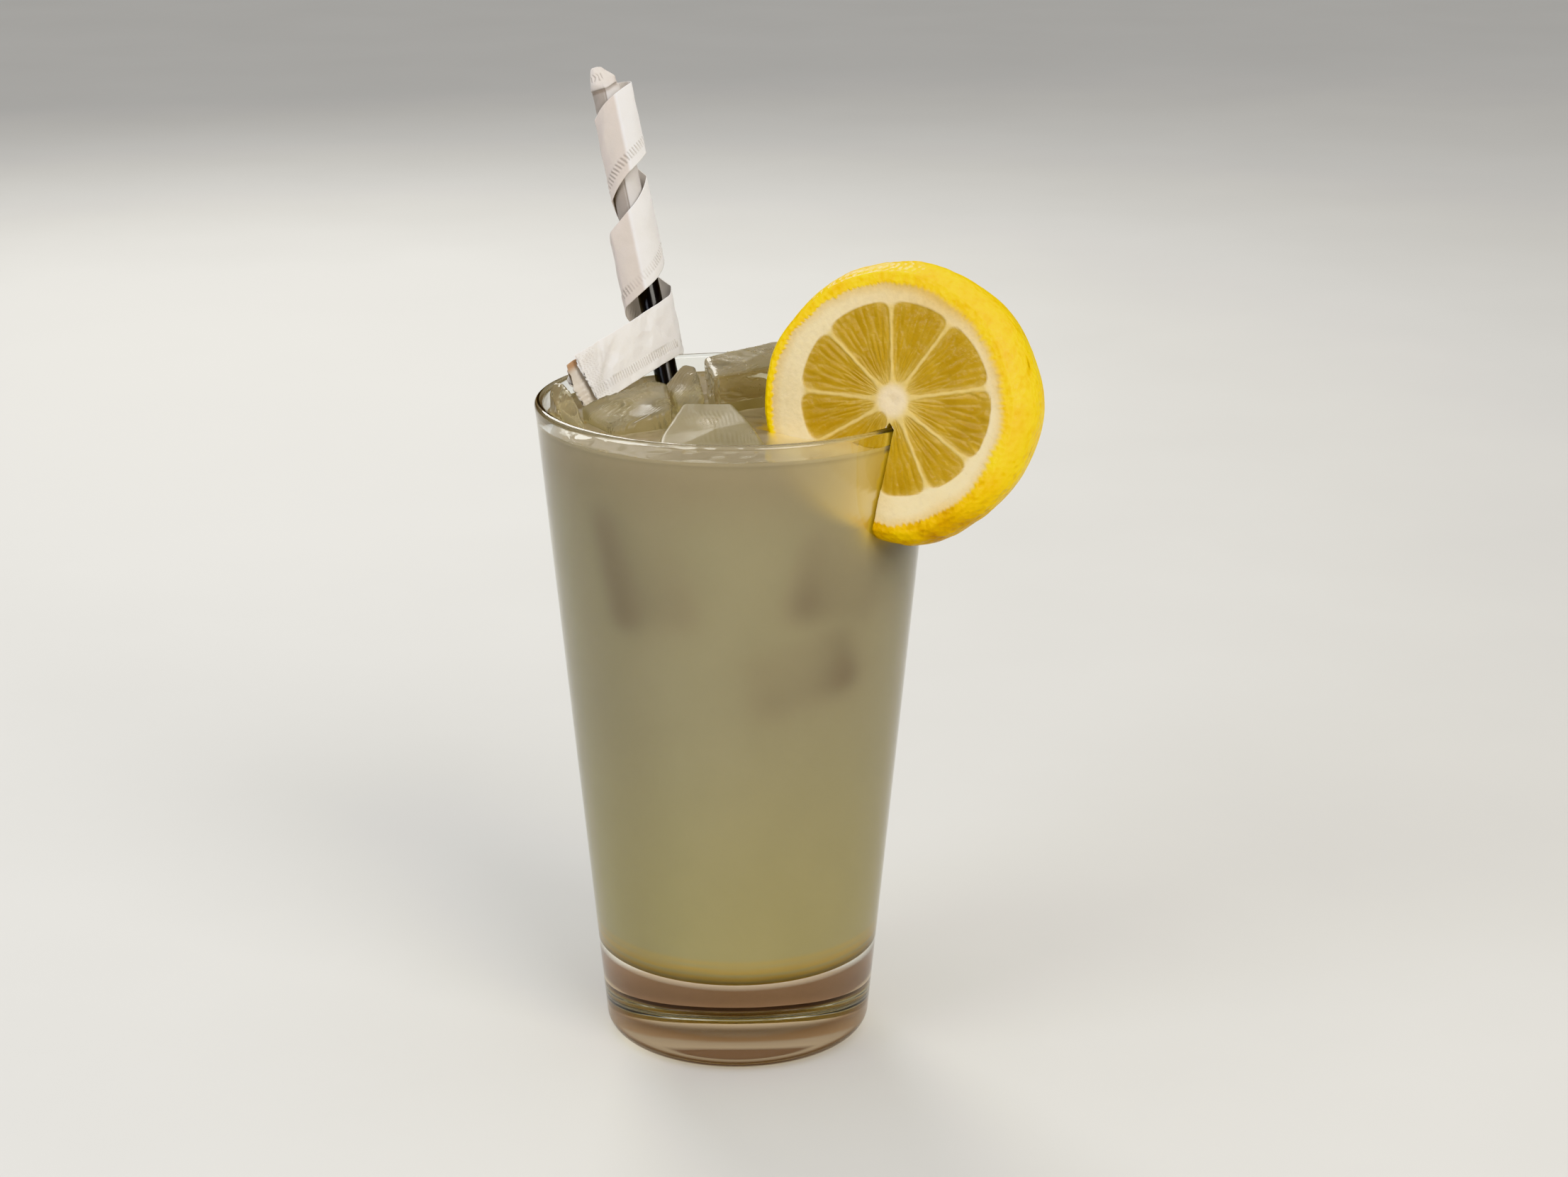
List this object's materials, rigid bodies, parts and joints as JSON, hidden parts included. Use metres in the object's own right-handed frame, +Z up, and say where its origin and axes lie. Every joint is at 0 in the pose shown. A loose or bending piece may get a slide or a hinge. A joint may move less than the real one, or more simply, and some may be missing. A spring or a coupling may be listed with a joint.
{
  "type": "glass of lemonade",
  "caption": "Tall tapered glass of cloudy iced lemonade with a thick foot, a lemon wheel slit onto the rim and a drinking straw wound in its torn paper.",
  "frame": {"origin": "middle of the glass's flat underside, on the surface it stands on", "axes": "+Z up along the glass's axis, -Y towards the side the lemon wheel faces, +X to the right seen from there"},
  "size_m": [0.1107, 0.1035, 0.2156],
  "materials": {
    "clear_glass": "clear, fire polished",
    "lemonade": "cloudy liquid",
    "ice": "clear to frosted ice",
    "lemon": "fresh fruit, pored peel and wet pulp",
    "black_straw": "glossy",
    "wrapper_paper": "thin, matte, crimped along one edge"
  },
  "bodies": {
    "root": {"glass": "clear_glass", "drink": "lemonade", "ice_left": "ice", "ice_ridged": "ice", "ice_chunk": "ice", "ice_back": "ice", "ice_front": "ice", "lemon_wheel": "lemon", "straw": "black_straw", "paper_wrapper": "wrapper_paper"}
  },
  "joints": []
}
